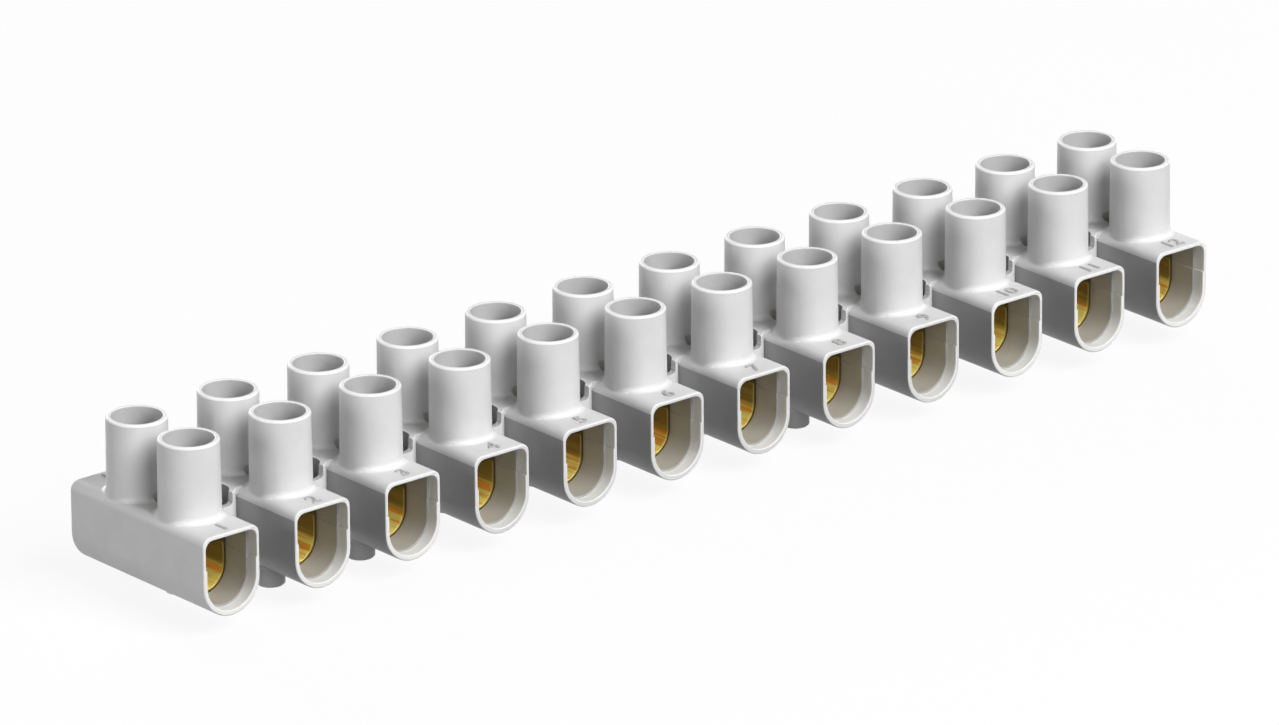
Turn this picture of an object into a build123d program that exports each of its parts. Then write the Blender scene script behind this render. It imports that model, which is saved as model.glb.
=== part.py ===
from build123d import *
import os

os.makedirs("parts", exist_ok=True)

# The row: poles stand along X, their mouths face -Y and +Y, and the base lies at z = 0.
POLES = 12
PITCH = 10.0

# The moulded body of one pole, a tube with a flat top and a round bottom.
BODY_WIDTH = 6.1
BODY_LENGTH = 18.8
BODY_HEIGHT = 7.7
SHOULDER_R = 0.85

# The mould parts at this height. Above it a channel is wider, by a small step in each wall.
PARTING_Z = BODY_HEIGHT - 3.0
ENTRY_STEP = 0.13
PASSAGE_STEP = 0.05

# The wide entry at each mouth, inside thin walls.
ENTRY_DEPTH = 1.2
ENTRY_WALL = 0.42
ENTRY_FLOOR = 0.5
ENTRY_ROOF = 0.35
ENTRY_CORNER_R = 0.8
ENTRY_HALF = BODY_WIDTH / 2 - ENTRY_WALL
ENTRY_TOP = BODY_HEIGHT - ENTRY_ROOF

# The passage behind the entry, which runs through the pole and holds the insert.
PASSAGE_WALL = 0.6
PASSAGE_FLOOR = 0.7
PASSAGE_ROOF = 0.65
PASSAGE_CORNER_R = 0.2
PASSAGE_HALF = BODY_WIDTH / 2 - PASSAGE_WALL
PASSAGE_TOP = BODY_HEIGHT - PASSAGE_ROOF

# The two screw towers of a pole.
TOWER_Y = 3.64
TOWER_HEIGHT = 7.0
TOWER_R = 2.72
TOWER_BORE_R = 2.25
TOWER_TOP = BODY_HEIGHT + TOWER_HEIGHT

# The window in a pole's roof between its towers, which cuts a little into their walls.
WINDOW_HALF = 0.5
WINDOW_BITE = 0.2
WINDOW_RISE = 0.7
WINDOW_REACH = TOWER_Y - TOWER_R + WINDOW_BITE

# The bosses between the poles, each with a fixing hole, a recess and two notches.
BOSS_R = 2.25
BRIDGE_HALF_DEPTH = 1.35
BRIDGE_HEIGHT = 0.6
FIXING_R = 1.25
RECESS_R = 1.7
RECESS_DEPTH = 1.55
NOTCH_HALF = 0.9
NOTCH_DEPTH = 1.06

# Locating pegs with flat seats under some poles, and flat round pads in their place under the others.
PEG_POLES = (2, 3, 8)
PEG_Y = -1.9
PEG_R = 1.3
PEG_LENGTH = 1.8
PEG_SEAT_R = 1.6
PAD_R = 1.2
PAD_Z = 0.1
PEG_ROOT = 0.5

# The clamp screws' threads, and the play of their smooth stand-ins.
THREAD_R = 1.5
SCREW_GAP = 0.05

# The brass insert, a U-shaped tube whose thick roof holds the threads.
INSERT_GAP = 0.05
INSERT_HEADROOM = 0.1
INSERT_WALL = 0.35
INSERT_ROOF = 1.75
INSERT_END = 0.31
INSERT_CORNER_R = 0.2
TUNNEL_CORNER_R = 0.4
INSERT_HALF = PASSAGE_HALF - INSERT_GAP
INSERT_FLOOR = PASSAGE_FLOOR + INSERT_GAP
INSERT_TOP = PASSAGE_TOP - INSERT_HEADROOM
INSERT_LENGTH = 2 * (TOWER_Y + THREAD_R + INSERT_END)
TUNNEL_TOP = INSERT_TOP - INSERT_ROOF

# The clamp screws, drawn up so that the wire tunnel is open.
SHANK_LENGTH = 5.7
TIP_RISE = 0.1
HEAD_R = 1.95
HEAD_HEIGHT = 1.9
SLOT_WIDTH = 0.6
SLOT_DEPTH = 0.9

# How far a cutting shape runs past the face that it opens.
OVER = 0.2


def pole_x(number):
    # The first pole is number 1, at the -X end.
    return (number - (POLES + 1) / 2) * PITCH


def u_face(half, bottom, top, corner):
    # A flat-topped outline with rounded upper corners and a half-round bottom.
    spring = bottom + half
    walls = Polyline((-half, spring), (-half, top), (half, top), (half, spring))
    base = ThreePointArc((half, spring), (0, bottom), (-half, spring))
    face = make_face([*walls.edges(), base])
    corners = face.vertices().sort_by(Axis.Y)[-2:]
    return fillet(corners, corner)


def along_y(face, low, high):
    # The outline drawn as width and height becomes a prism from low to high.
    return Pos(0, high, 0) * extrude(Plane.XZ * face, high - low)


def split_channel(half, step, bottom, top, corner, low, high):
    # A channel that is a little wider above the parting height than below it.
    lower = along_y(u_face(half, bottom, top, corner), low, high)
    face = Pos(0, (PARTING_Z + top) / 2) * Rectangle(2 * (half + step), top - PARTING_Z)
    face = fillet(face.vertices().sort_by(Axis.Y)[-2:], corner)
    return lower + along_y(face, low, high)


def upright(radius, low, high):
    # A round post from one height to another.
    return Pos(0, 0, (low + high) / 2) * Cylinder(radius, high - low)


def pole_blank():
    # The outer form of one pole: the body and its two towers.
    half = BODY_LENGTH / 2
    body = along_y(u_face(BODY_WIDTH / 2, 0, BODY_HEIGHT, SHOULDER_R), -half, half)
    tower = upright(TOWER_R, PASSAGE_TOP, TOWER_TOP)
    return body + [Pos(0, side * TOWER_Y, 0) * tower for side in (-1, 1)]


def pole_hollow():
    # What is cut from a pole: the passage, the two entries, the window and the two tower bores.
    half = BODY_LENGTH / 2
    passage_sizes = (PASSAGE_HALF, PASSAGE_STEP, PASSAGE_FLOOR, PASSAGE_TOP, PASSAGE_CORNER_R)
    entry_sizes = (ENTRY_HALF, ENTRY_STEP, ENTRY_FLOOR, ENTRY_TOP, ENTRY_CORNER_R)
    hollow = [split_channel(*passage_sizes, -half + OVER, half - OVER)]
    window_top = BODY_HEIGHT + WINDOW_RISE
    window = Box(2 * WINDOW_HALF, 2 * WINDOW_REACH, window_top - PASSAGE_TOP + OVER)
    hollow.append(Pos(0, 0, (window_top + PASSAGE_TOP - OVER) / 2) * window)
    bore = upright(TOWER_BORE_R, PASSAGE_TOP - OVER, TOWER_TOP + OVER)
    for side in (-1, 1):
        low, high = sorted((side * (half - ENTRY_DEPTH), side * (half + OVER)))
        hollow.append(split_channel(*entry_sizes, low, high))
        hollow.append(Pos(0, side * TOWER_Y, 0) * bore)
    return hollow


def boss_solid():
    # The post between two poles and the bridge that makes its top flush with theirs.
    width = PITCH - BODY_WIDTH + 2 * SHOULDER_R
    bridge = Box(width, 2 * BRIDGE_HALF_DEPTH, BRIDGE_HEIGHT)
    return upright(BOSS_R, 0, BODY_HEIGHT) + Pos(0, 0, BODY_HEIGHT - BRIDGE_HEIGHT / 2) * bridge


def boss_cut():
    # The fixing hole, its recess, and a notch to the front and to the back.
    recess_floor = BODY_HEIGHT - RECESS_DEPTH
    cut = upright(FIXING_R, -OVER, recess_floor + OVER)
    cut += upright(RECESS_R, recess_floor, BODY_HEIGHT + OVER)
    notch = Box(2 * NOTCH_HALF, 2 * (BOSS_R + OVER), NOTCH_DEPTH + OVER)
    return cut + Pos(0, 0, BODY_HEIGHT + (OVER - NOTCH_DEPTH) / 2) * notch


def make_housing():
    # All poles and bosses are one moulding.
    pole = pole_blank() - pole_hollow()
    blanks = [Pos(pole_x(n), 0, 0) * pole for n in range(1, POLES + 1)]
    gaps = [pole_x(n) + PITCH / 2 for n in range(1, POLES)]
    blanks += [Pos(x, 0, 0) * boss_solid() for x in gaps]
    cuts = [Pos(x, 0, 0) * boss_cut() for x in gaps]
    for n in range(1, POLES + 1):
        place = Pos(pole_x(n), PEG_Y, 0)
        if n in PEG_POLES:
            blanks.append(place * upright(PEG_R, -PEG_LENGTH, PEG_ROOT))
            blanks.append(place * upright(PEG_SEAT_R, 0, PEG_ROOT))
        else:
            blanks.append(place * upright(PAD_R, PAD_Z, PEG_ROOT))
            cuts.append(place * upright(PAD_R, -OVER, PAD_Z))
    housing = blanks[0].fuse(*blanks[1:]).cut(*cuts)
    return housing.solids()[0] if len(housing.solids()) == 1 else housing


def make_insert():
    # The tube with its thick roof, the wire tunnel and the two threaded holes.
    half = INSERT_LENGTH / 2
    tunnel_half = INSERT_HALF - INSERT_WALL
    tunnel_floor = INSERT_FLOOR + INSERT_WALL
    body = along_y(u_face(INSERT_HALF, INSERT_FLOOR, INSERT_TOP, INSERT_CORNER_R), -half, half)
    tunnel = along_y(u_face(tunnel_half, tunnel_floor, TUNNEL_TOP, TUNNEL_CORNER_R), -half, half)
    insert = body - tunnel
    for side in (-1, 1):
        hole = upright(THREAD_R, TUNNEL_TOP - OVER, INSERT_TOP + OVER)
        insert -= Pos(0, side * TOWER_Y, 0) * hole
    return insert


def make_screw():
    # A slotted cheese-head screw with a plain shank in place of its thread.
    tip = TUNNEL_TOP + TIP_RISE
    neck = tip + SHANK_LENGTH
    crown = neck + HEAD_HEIGHT
    shank_r = THREAD_R - SCREW_GAP
    screw = upright(shank_r, tip, neck) + upright(HEAD_R, neck, crown)
    slot = Pos(0, 0, crown - SLOT_DEPTH / 2) * Box(2 * HEAD_R + OVER, SLOT_WIDTH, SLOT_DEPTH)
    return screw - slot


def save(shape, name):
    # Each piece is one file.
    shape.label = name
    export_step(shape, f"parts/{name}.step")


def main():
    save(make_housing(), "housing")
    insert = make_insert()
    screw = make_screw()
    for n in range(1, POLES + 1):
        save(Pos(pole_x(n), 0, 0) * insert, f"insert_{n:02d}")
        for side, word in ((-1, "front"), (1, "back")):
            turned = Pos(pole_x(n), side * TOWER_Y, 0) * Rot(0, 0, 37 * n + 20 * side)
            save(turned * screw, f"screw_{word}_{n:02d}")


main()
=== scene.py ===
import logging
import math
from dataclasses import dataclass
from enum import Enum

import bmesh
import bpy
import numpy as np
from mathutils import Matrix, Vector


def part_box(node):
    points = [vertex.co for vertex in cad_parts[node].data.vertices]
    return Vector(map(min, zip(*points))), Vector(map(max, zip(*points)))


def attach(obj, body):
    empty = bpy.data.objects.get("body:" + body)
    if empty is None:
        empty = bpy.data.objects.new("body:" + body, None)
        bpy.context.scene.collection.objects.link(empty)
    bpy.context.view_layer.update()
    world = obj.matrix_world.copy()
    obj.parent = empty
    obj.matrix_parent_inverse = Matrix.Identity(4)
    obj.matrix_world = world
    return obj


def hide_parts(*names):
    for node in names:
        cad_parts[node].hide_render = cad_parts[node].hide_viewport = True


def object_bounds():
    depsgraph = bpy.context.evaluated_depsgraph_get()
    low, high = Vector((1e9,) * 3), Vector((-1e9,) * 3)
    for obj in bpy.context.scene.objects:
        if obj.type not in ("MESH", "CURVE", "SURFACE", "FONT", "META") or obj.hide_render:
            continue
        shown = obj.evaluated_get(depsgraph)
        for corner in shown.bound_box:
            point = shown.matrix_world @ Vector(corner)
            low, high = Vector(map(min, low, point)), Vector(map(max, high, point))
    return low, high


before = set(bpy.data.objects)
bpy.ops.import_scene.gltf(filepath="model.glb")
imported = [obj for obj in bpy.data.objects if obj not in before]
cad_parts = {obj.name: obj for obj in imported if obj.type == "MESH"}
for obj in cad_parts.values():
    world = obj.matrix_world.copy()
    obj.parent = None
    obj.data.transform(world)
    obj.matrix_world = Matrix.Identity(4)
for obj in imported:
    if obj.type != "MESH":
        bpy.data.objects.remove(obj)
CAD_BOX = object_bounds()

LOG = logging.getLogger("terminal_strip")
MM = 0.001
STRIP_BODY = "strip"
Point = tuple[float, float]
Triple = tuple[float, float, float]
Loop = list[Triple]
Colour = tuple[float, float, float, float]
WHITE: Colour = (1.0, 1.0, 1.0, 1.0)

# How far the middle of a small rounding lies from both faces, as a share of its radius.
ROUND_MID = 0.3

# How strongly each finer layer of a cloudy pattern shows beside the layer before it.
FINER_SHARE = 0.55


class Side(Enum):
    """The two long sides of the strip, each with the sign of its Y."""

    FRONT = -1
    BACK = 1

    @property
    def word(self) -> str:
        """The side's name as the frame's nodes spell it."""
        return self.name.lower()


class Shelter(Enum):
    """What the plastic's tone is multiplied by in each kind of place: painted shade in the hollows, between
    the poles and below, and painted light in the entries and on the towers' feet.
    """

    OPEN = (1.0, 1.0, 1.0, 1.0)
    # Painted light on the entries' walls.
    THIN = (1.2, 1.2, 1.17, 1.0)
    # Painted shade on the step between an entry and its passage.
    STEP = (0.47, 0.46, 0.44, 1.0)
    # Painted highlight on the towers' feet.
    FOOT = (1.08, 1.08, 1.08, 1.0)
    # Painted shade on the walls between the poles.
    GAP = (0.55, 0.55, 0.55, 1.0)
    # Painted shade in the screwdriver bores.
    BORE = (0.67, 0.67, 0.67, 1.0)
    # Painted shade in the windows between the towers.
    WINDOW = (0.85, 0.85, 0.85, 1.0)
    # Painted shade in the bosses' recesses.
    RECESS = (0.42, 0.42, 0.42, 1.0)
    # Painted shade in the passages, tinted beige as painted light reflected from the brass.
    PASSAGE = (0.64, 0.60, 0.52, 1.0)
    # Painted shade on the underside.
    BELOW = (0.86, 0.86, 0.86, 1.0)


class Cut(Enum):
    """What a second solid does to a first one."""

    ADD = "UNION"
    TAKE = "DIFFERENCE"


# Node trees.


class Value:
    """A number socket that takes part in Python sums."""

    def __init__(self, graph: "Graph", socket: bpy.types.NodeSocket) -> None:
        """Wraps a socket of a tree.

        Args:
            graph: The tree's builder.
            socket: The output that holds the number.
        """
        self.graph = graph
        self.socket = socket

    def _sum(self, operation: str, first: object, second: object) -> "Value":
        """Adds one Math node.

        Args:
            operation: The node's operation.
            first: The first number or value.
            second: The second number or value.

        Returns:
            The node's result.
        """
        made = self.graph.node("ShaderNodeMath", {"operation": operation}, {0: first, 1: second})
        return Value(self.graph, made.outputs[0])

    def __add__(self, other: object) -> "Value":
        """self + other."""
        return self._sum("ADD", self, other)

    def __radd__(self, other: object) -> "Value":
        """other + self."""
        return self._sum("ADD", other, self)

    def __sub__(self, other: object) -> "Value":
        """self - other."""
        return self._sum("SUBTRACT", self, other)

    def __rsub__(self, other: object) -> "Value":
        """other - self."""
        return self._sum("SUBTRACT", other, self)

    def __mul__(self, other: object) -> "Value":
        """self * other."""
        return self._sum("MULTIPLY", self, other)

    def __rmul__(self, other: object) -> "Value":
        """other * self."""
        return self._sum("MULTIPLY", other, self)

    def __truediv__(self, other: object) -> "Value":
        """self / other."""
        return self._sum("DIVIDE", self, other)

    def at_least(self, other: object) -> "Value":
        """The greater of the two."""
        return self._sum("MAXIMUM", self, other)

    def eased(self, low: float, high: float) -> "Value":
        """Runs smoothly from 0 at low to 1 at high.

        Args:
            low: Where the result leaves 0.
            high: Where the result reaches 1.

        Returns:
            The eased value.
        """
        made = self.graph.node(
            "ShaderNodeMapRange",
            {"interpolation_type": "SMOOTHSTEP"},
            {"Value": self, "From Min": low, "From Max": high},
        )
        return Value(self.graph, made.outputs["Result"])


class Graph:
    """Adds nodes to one tree."""

    def __init__(self, tree: bpy.types.NodeTree) -> None:
        """Takes the tree to build in.

        Args:
            tree: A shader, world or geometry tree.
        """
        self.tree = tree

    def node(
        self,
        kind: str,
        settings: dict[str, object] | None = None,
        inputs: dict[str | int, object] | None = None,
    ) -> bpy.types.Node:
        """Adds one node.

        Args:
            kind: The node's type.
            settings: Its own properties, set before its sockets.
            inputs: Socket name or number to a number, colour, socket or Value.

        Returns:
            The new node.
        """
        made = self.tree.nodes.new(kind)
        for name, setting in (settings or {}).items():
            setattr(made, name, setting)
        for key, given in (inputs or {}).items():
            self.feed(made.inputs[key], given)
        return made

    def feed(self, socket: bpy.types.NodeSocket, given: object) -> None:
        """Links or sets one socket.

        Args:
            socket: The input to fill.
            given: A Value, an output socket, or a plain value.
        """
        if isinstance(given, Value):
            given = given.socket
        if isinstance(given, bpy.types.NodeSocket):
            self.tree.links.new(given, socket)
        else:
            socket.default_value = given

    def value(self, socket: bpy.types.NodeSocket) -> Value:
        """A socket as a Value."""
        return Value(self, socket)

    def mixed(self, share: object, first: object, second: object, how: str = "MIX") -> bpy.types.NodeSocket:
        """Mixes two colours.

        Args:
            share: How much of the second colour shows.
            first: The first colour.
            second: The second colour.
            how: The blend of the two.

        Returns:
            The mixed colour's socket.
        """
        settings = {"data_type": "RGBA", "blend_type": how}
        made = self.node("ShaderNodeMix", settings, {0: share, 6: first, 7: second})
        return made.outputs[2]

    def bump(self, shader: bpy.types.Node, strength: float, depth: float, height: Value) -> None:
        """Roughens the surface of a finish.

        Args:
            shader: The finish's shader.
            strength: How much of the pattern is felt.
            depth: The pattern's depth in metres.
            height: The pattern.
        """
        made = self.node("ShaderNodeBump", {}, {"Strength": strength, "Distance": depth, "Height": height})
        self.feed(shader.inputs["Normal"], made.outputs[0])

    def noise(self, scale: float, stretch: Triple = (1, 1, 1), detail: float = 2.0) -> Value:
        """A cloudy pattern on the piece's own coordinates.

        Args:
            scale: Pattern cells in a metre.
            stretch: The pattern's scale along each axis.
            detail: How many finer layers are added.

        Returns:
            A value around 0.5.
        """
        place = self.node("ShaderNodeTexCoord").outputs["Object"]
        drawn = self.node("ShaderNodeMapping", {}, {"Vector": place, "Scale": stretch})
        made = self.node(
            "ShaderNodeTexNoise",
            {},
            {"Vector": drawn.outputs[0], "Scale": scale, "Detail": detail, "Roughness": FINER_SHARE},
        )
        return self.value(made.outputs[0])


# Finishes.


def fresh_material(name: str) -> tuple[bpy.types.Material, Graph, bpy.types.Node]:
    """Starts a material with one shader wired to its output.

    Args:
        name: The material's name.

    Returns:
        The material, its tree's builder and its shader node.
    """
    material = bpy.data.materials.new(name)
    material.use_nodes = True
    material.node_tree.nodes.clear()
    graph = Graph(material.node_tree)
    shader = graph.node("ShaderNodeBsdfPrincipled")
    output = graph.node("ShaderNodeOutputMaterial")
    graph.feed(output.inputs["Surface"], shader.outputs[0])
    return material, graph, shader


@dataclass(frozen=True)
class MouldedPlastic:
    """Satin light grey plastic with the faint unevenness of a moulding; where marked, its tone carries
    painted shade, painted light and painted highlights on small roundings.
    """

    colour: Colour = (0.76, 0.76, 0.76, 1.0)
    shade: Colour = (0.72, 0.72, 0.72, 1.0)
    # The colour of the painted highlight on small roundings.
    edge: Colour = (0.89, 0.89, 0.89, 1.0)
    cloud_scale: float = 260.0
    clouded: Point = (0.35, 0.7)
    roughness: float = 0.42
    unevenness: float = 0.12
    gloss: float = 0.42
    grain_scale: float = 5200.0
    grain: float = 0.05
    grain_depth: float = 0.00002
    name: str = "moulded_plastic"
    marked: bool = True

    def build(self) -> bpy.types.Material:
        """Makes the material.

        Returns:
            The finished material.
        """
        material, graph, shader = fresh_material(self.name)
        clouds = graph.noise(self.cloud_scale, detail=3.0)
        tone = graph.mixed(clouds.eased(*self.clouded), self.colour, self.shade)
        # Painted shade and painted light multiply the tone, and small roundings get a painted highlight.
        if self.marked:
            shelter = graph.node("ShaderNodeAttribute", {"attribute_name": "shelter"})
            highlight = graph.node("ShaderNodeAttribute", {"attribute_name": "edge_highlight"})
            tone = graph.mixed(1.0, tone, shelter.outputs["Color"], "MULTIPLY")
            tone = graph.mixed(highlight.outputs["Fac"], tone, self.edge)
        graph.feed(shader.inputs["Base Color"], tone)
        graph.feed(shader.inputs["Roughness"], self.roughness + (clouds - 0.5) * self.unevenness)
        graph.feed(shader.inputs["Specular IOR Level"], self.gloss)
        graph.bump(shader, self.grain, self.grain_depth, graph.noise(self.grain_scale))
        return material


@dataclass(frozen=True)
class DrawnBrass:
    """Brass streaked along the drawn profile, with a painted reflection of light in its bottom, painted
    shade above, and darker end faces.
    """

    yellow: Colour = (1.0, 0.84, 0.22, 1.0)
    orange: Colour = (0.97, 0.41, 0.04, 1.0)
    shaded_olive: Colour = (0.29, 0.23, 0.09, 1.0)
    cut: Colour = (0.17, 0.13, 0.04, 1.0)

    # The two patterns' sum falls by fading for each metre above bottom, and the brass turns from orange to
    # yellow while the sum runs between the two values of its glint range. This bright, streaked bottom is a
    # painted reflection of light.
    streak_scale: float = 4200.0
    streak_share: float = 2.2
    broad_scale: float = 900.0
    broad_share: float = 0.6
    bottom: float = 0.0014
    fading: float = 130.0
    glint_range: Point = (1.02, 1.36)

    # Heights in metres between which it turns to a dark olive painted shade, and how much of the streaks
    # shows there.
    shaded_heights: Point = (0.0025, 0.0034)
    shaded_streaks: float = 0.8

    # How much of a metal it is where it has neither the painted reflection nor the painted shade.
    metal: float = 0.2
    roughness: float = 0.4
    unevenness: float = 0.3
    scratches: float = 0.3
    scratch_depth: float = 0.00003

    def build(self) -> bpy.types.Material:
        """Makes the material.

        Returns:
            The finished material.
        """
        material, graph, shader = fresh_material("drawn_brass")
        place = graph.node("ShaderNodeTexCoord").outputs["Object"]
        height = graph.value(graph.node("ShaderNodeSeparateXYZ", {}, {0: place}).outputs["Z"])
        marks = graph.node("ShaderNodeAttribute", {"attribute_name": "cut_end"})
        ends = graph.value(marks.outputs["Fac"])
        streaks = graph.noise(self.streak_scale, stretch=(1.0, 0.02, 1.0), detail=3.0)
        broad = graph.noise(self.broad_scale, stretch=(1.0, 0.05, 1.0), detail=1.0)
        pattern = streaks * self.streak_share + broad * self.broad_share
        # Painted reflection of light in the bottom, and painted shade above it.
        glow = (pattern - (height - self.bottom) * self.fading).eased(*self.glint_range)
        dull = height.eased(*self.shaded_heights)
        tone = graph.mixed(glow, self.orange, self.yellow)
        tone = graph.mixed(dull * (1 - (streaks - 0.5) * self.shaded_streaks), tone, self.shaded_olive)
        graph.feed(shader.inputs["Base Color"], graph.mixed(ends, tone, self.cut))
        metal = self.metal + dull * (1 - self.metal) - glow * self.metal
        graph.feed(shader.inputs["Metallic"], metal.at_least(ends))
        graph.feed(shader.inputs["Roughness"], self.roughness + (streaks - 0.5) * self.unevenness)
        graph.bump(shader, self.scratches, self.scratch_depth, streaks)
        return material


@dataclass(frozen=True)
class ZincPlate:
    """Bright zinc on steel, a little blotched."""

    pale: Colour = (0.66, 0.67, 0.68, 1.0)
    dull: Colour = (0.50, 0.50, 0.49, 1.0)
    blotch_scale: float = 1500.0
    blotched: Point = (0.4, 0.7)
    roughness: float = 0.3
    unevenness: float = 0.25
    scratch_scale: float = 6000.0
    scratches: float = 0.1
    scratch_depth: float = 0.00002

    def build(self) -> bpy.types.Material:
        """Makes the material.

        Returns:
            The finished material.
        """
        material, graph, shader = fresh_material("zinc_plate")
        blotches = graph.noise(self.blotch_scale, detail=3.0)
        tone = graph.mixed(blotches.eased(*self.blotched), self.pale, self.dull)
        graph.feed(shader.inputs["Base Color"], tone)
        graph.feed(shader.inputs["Metallic"], 1.0)
        graph.feed(shader.inputs["Roughness"], self.roughness + (blotches - 0.5) * self.unevenness)
        scratches = graph.noise(self.scratch_scale, stretch=(1.0, 0.2, 1.0))
        graph.bump(shader, self.scratches, self.scratch_depth, scratches)
        return material


@dataclass(frozen=True)
class StudioPaper:
    """White paper under the strip that shows white to the camera and keeps a faint shadow."""

    colour: Colour = (0.14, 0.14, 0.14, 1.0)
    seen: Colour = WHITE
    shadow_share: float = 0.1
    fibre_scale: float = 900.0
    roughness: float = 0.8
    unevenness: float = 0.1

    def build(self) -> bpy.types.Material:
        """Makes the material.

        Returns:
            The finished material.
        """
        material, graph, shader = fresh_material("studio_paper")
        fibres = graph.noise(self.fibre_scale, detail=3.0)
        seen = seen_share(graph)
        graph.feed(shader.inputs["Base Color"], graph.mixed(seen, self.colour, self.seen))
        graph.feed(shader.inputs["Roughness"], self.roughness + fibres * self.unevenness)
        graph.feed(shader.inputs["Specular IOR Level"], 0.0)
        glow = graph.node("ShaderNodeEmission", {}, {"Color": WHITE, "Strength": 1.0})
        lit = seen * (1 - self.shadow_share)
        blend = graph.node("ShaderNodeMixShader", {}, {0: lit, 1: shader.outputs[0], 2: glow.outputs[0]})
        output = next(n for n in graph.tree.nodes if n.bl_idname == "ShaderNodeOutputMaterial")
        graph.feed(output.inputs["Surface"], blend.outputs[0])
        return material


def seen_share(graph: Graph) -> Value:
    """1 for rays of the camera, of gloss and of clear things, and 0 for all others.

    Args:
        graph: The tree in which it is used.

    Returns:
        The share.
    """
    path = graph.node("ShaderNodeLightPath")
    seen = graph.value(path.outputs["Is Camera Ray"])
    seen = seen.at_least(graph.value(path.outputs["Is Glossy Ray"]))
    return seen.at_least(graph.value(path.outputs["Is Transmission Ray"]))


# Solids.


@dataclass
class Solid:
    """A closed surface in the making, in millimetres."""

    points: list[Triple]
    faces: list[tuple[int, ...]]

    @classmethod
    def lofted(cls, loops: list[Loop]) -> "Solid":
        """A closed form through loops of equal length, capped at its ends.

        Args:
            loops: The loops in order.

        Returns:
            The solid.
        """
        count = len(loops[0])
        points = [p for loop in loops for p in loop]
        faces = cls._bands(count, len(loops))
        faces.append(tuple(range(count)))
        faces.append(tuple(range(len(points) - 1, len(points) - count - 1, -1)))
        return cls(points, faces)

    @classmethod
    def mirrored(cls, rows: list[tuple["Channel", float, float]]) -> "Solid":
        """A closed form along Y, the same on both sides of its middle.

        Args:
            rows: Outline, distance from the middle and widening, from one end inwards.

        Returns:
            The solid.
        """
        loops = [channel.loop(-y, grow) for channel, y, grow in rows]
        loops += [channel.loop(y, grow) for channel, y, grow in reversed(rows)]
        return cls.lofted(loops)

    @classmethod
    def ringed(cls, loops: list[Loop]) -> "Solid":
        """A closed ring through loops of equal length, whose last loop meets its first.

        Args:
            loops: The loops in order.

        Returns:
            The solid.
        """
        count = len(loops[0])
        points = [p for loop in loops for p in loop]
        faces = cls._bands(count, len(loops))
        start = count * (len(loops) - 1)
        for i in range(count):
            j = (i + 1) % count
            faces.append((start + i, start + j, j, i))
        return cls(points, faces)

    @classmethod
    def turned(cls, outline: list[Point], segments: int, centre: Point = (0.0, 0.0)) -> "Solid":
        """A form turned about an upright axis.

        Args:
            outline: Radius and height of each point, from the lower end of the axis to the upper end.
            segments: Steps in a full turn.
            centre: Where the axis stands.

        Returns:
            The solid.
        """
        x, y = centre
        low, *middle, high = outline
        points: list[Triple] = []
        for radius, height in middle:
            for i in range(segments):
                angle = 2 * math.pi * i / segments
                points.append((x + radius * math.cos(angle), y + radius * math.sin(angle), height))
        faces = cls._bands(segments, len(middle))
        foot, crown = len(points), len(points) + 1
        points += [(x, y, low[1]), (x, y, high[1])]
        top = segments * (len(middle) - 1)
        for i in range(segments):
            j = (i + 1) % segments
            faces.append((foot, j, i))
            faces.append((crown, top + i, top + j))
        return cls(points, faces)

    @staticmethod
    def _bands(count: int, rows: int) -> list[tuple[int, ...]]:
        """The four-sided faces between neighbouring loops.

        Args:
            count: Points in a loop.
            rows: Number of loops.

        Returns:
            The faces.
        """
        faces: list[tuple[int, ...]] = []
        for row in range(rows - 1):
            for i in range(count):
                j = (i + 1) % count
                a, b = row * count, (row + 1) * count
                faces.append((a + i, a + j, b + j, b + i))
        return faces

    def placed(self, name: str) -> bpy.types.Object:
        """Makes an object of the solid, with its faces turned outwards.

        Args:
            name: The object's name.

        Returns:
            The object, in millimetres.
        """
        mesh = bpy.data.meshes.new(name)
        mesh.from_pydata(self.points, [], self.faces)
        work = bmesh.new()
        work.from_mesh(mesh)
        bmesh.ops.recalc_face_normals(work, faces=work.faces)
        work.to_mesh(mesh)
        work.free()
        return linked(name, mesh)


def linked(name: str, data: bpy.types.ID) -> bpy.types.Object:
    """Makes an object and puts it in the scene.

    Args:
        name: The object's name.
        data: Its mesh, words, light or lens.

    Returns:
        The object.
    """
    made = bpy.data.objects.new(name, data)
    bpy.context.scene.collection.objects.link(made)
    return made


def arc(centre: Point, radius: float, start: float, end: float, steps: int) -> list[Point]:
    """Points on an arc.

    Args:
        centre: The arc's centre.
        radius: Its radius.
        start: Its first angle in degrees.
        end: Its last angle in degrees.
        steps: Steps between its ends.

    Returns:
        The points, ends included.
    """
    angles = [math.radians(start + (end - start) * i / steps) for i in range(steps + 1)]
    return [(centre[0] + radius * math.cos(a), centre[1] + radius * math.sin(a)) for a in angles]


def evaluated_mesh(piece: bpy.types.Object) -> bpy.types.Mesh:
    """The mesh that a piece has with its modifiers, or that its letters have.

    Args:
        piece: The object to evaluate.

    Returns:
        A mesh of its own.
    """
    bpy.context.view_layer.update()
    graph = bpy.context.evaluated_depsgraph_get()
    return bpy.data.meshes.new_from_object(piece.evaluated_get(graph))


def settled(piece: bpy.types.Object) -> bpy.types.Object:
    """Turns the evaluated form of a piece into its plain mesh and takes its modifiers off.

    Args:
        piece: The object to settle.

    Returns:
        The same object.
    """
    mesh = evaluated_mesh(piece)
    piece.modifiers.clear()
    before = piece.data
    piece.data = mesh
    bpy.data.meshes.remove(before)
    return piece


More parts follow.
